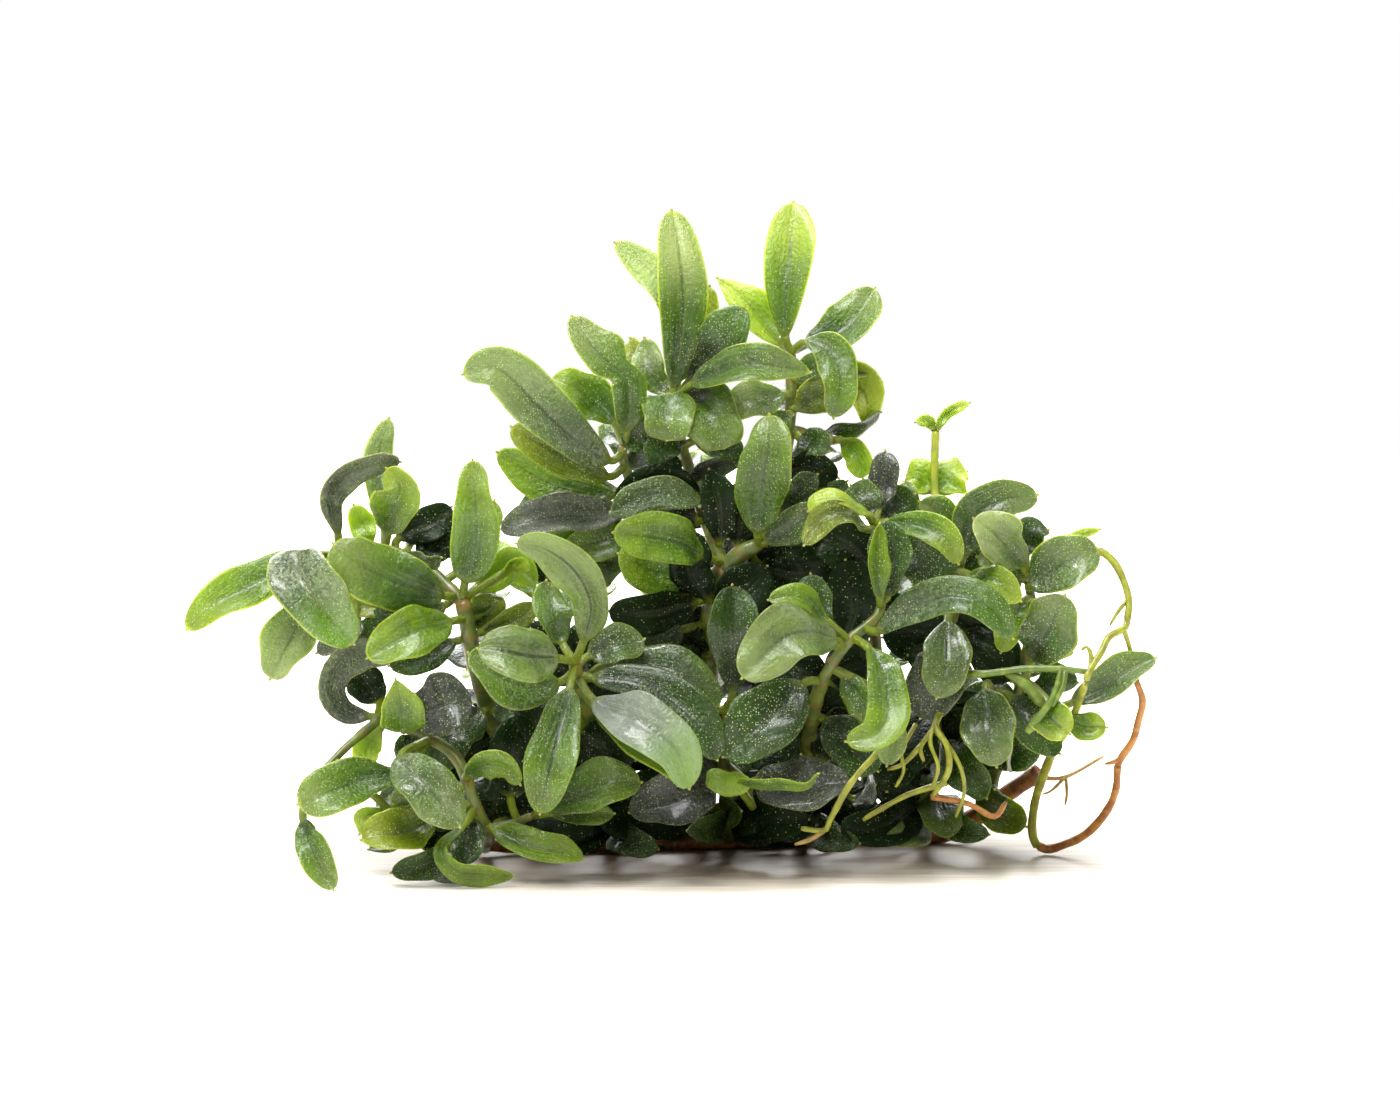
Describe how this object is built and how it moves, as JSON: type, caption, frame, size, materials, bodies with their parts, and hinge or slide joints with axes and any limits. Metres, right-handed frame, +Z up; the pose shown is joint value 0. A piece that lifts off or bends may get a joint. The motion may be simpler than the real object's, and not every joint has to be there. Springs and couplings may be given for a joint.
{
  "type": "bucephalandra aquarium plant clump",
  "caption": "Dense clump of bucephalandra, a small water plant: leathery oval leaves on branching shoots from a creeping rhizome, with thin looping roots.",
  "frame": {"origin": "centre of the clump's bounding box, on the surface that it rests on", "axes": "+X to the clump's right, along its rhizome and its looping roots; +Y to its back; +Z up"},
  "size_m": [0.0964, 0.0566, 0.0653],
  "materials": {
    "lime_leaf": "satin, wet",
    "bright_leaf": "satin, wet",
    "green_leaf": "satin, wet, pale dots",
    "pale_leaf": "satin, wet, silvery",
    "silver_leaf": "satin, wet, silvery, pale dots",
    "dark_leaf": "satin, wet, pale dots",
    "purple_leaf": "satin, wet, pale dots",
    "shoot": "satin, wet",
    "rhizome": "rough, wet",
    "root": "satin, wet"
  },
  "bodies": {
    "root": {"rhizome": "rhizome", "crown_main_stem": "shoot", "centre_upright_leaf": "green_leaf", "centre_pale_leaf": "bright_leaf", "crown_left_stem": "shoot", "crown_tall_leaf": "green_leaf", "crown_cross_leaf": "dark_leaf", "crown_right_stem": "shoot", "crown_right_tall_leaf": "bright_leaf", "crown_lime_leaf": "lime_leaf", "crown_right_leaf": "green_leaf", "crown_curled_leaf": "bright_leaf", "left_high_stem": "shoot", "twisted_leaf": "green_leaf", "long_grey_leaf": "silver_leaf", "front_stem": "shoot", "front_arched_leaf": "pale_leaf", "front_pale_leaf": "pale_leaf", "front_hanging_leaf": "green_leaf", "front_silver_leaf": "silver_leaf", "centre_stem": "shoot", "paddle_leaf": "dark_leaf", "low_purple_leaf": "purple_leaf", "low_speckled_leaf": "purple_leaf", "centre_right_stem": "shoot", "broad_pale_leaf": "pale_leaf", "spotted_leaf": "dark_leaf", "bright_curled_leaf": "bright_leaf", "long_arched_leaf": "silver_leaf", "right_stem": "shoot", "right_top_leaf": "silver_leaf", "right_hanging_leaf": "silver_leaf", "far_right_stem": "shoot", "far_right_wet_leaf": "silver_leaf", "right_round_leaf": "silver_leaf", "low_oval_leaf": "silver_leaf", "far_right_leaf": "silver_leaf", "left_stem": "shoot", "left_upright_leaf": "bright_leaf", "left_oval_leaf": "dark_leaf", "left_bright_leaf": "bright_leaf", "folded_spotted_leaf": "silver_leaf", "far_left_leaf": "bright_leaf", "low_left_stem": "shoot", "lime_pointed_leaf": "bright_leaf", "dark_round_leaf": "purple_leaf", "low_left_bar_leaf": "green_leaf", "tail_leaf": "pale_leaf", "low_silver_leaf": "silver_leaf", "back_left_shoot": "shoot", "back_centre_shoot": "shoot", "back_right_shoot": "shoot", "runner_root": "root", "upper_loop_root": "root", "upper_loop_root_end": "root", "lower_loop_root_top": "root", "lower_loop_root_floor": "root", "lower_loop_root_rise": "root", "hanging_root": "root", "root_tangle": "root"}
  },
  "joints": []
}
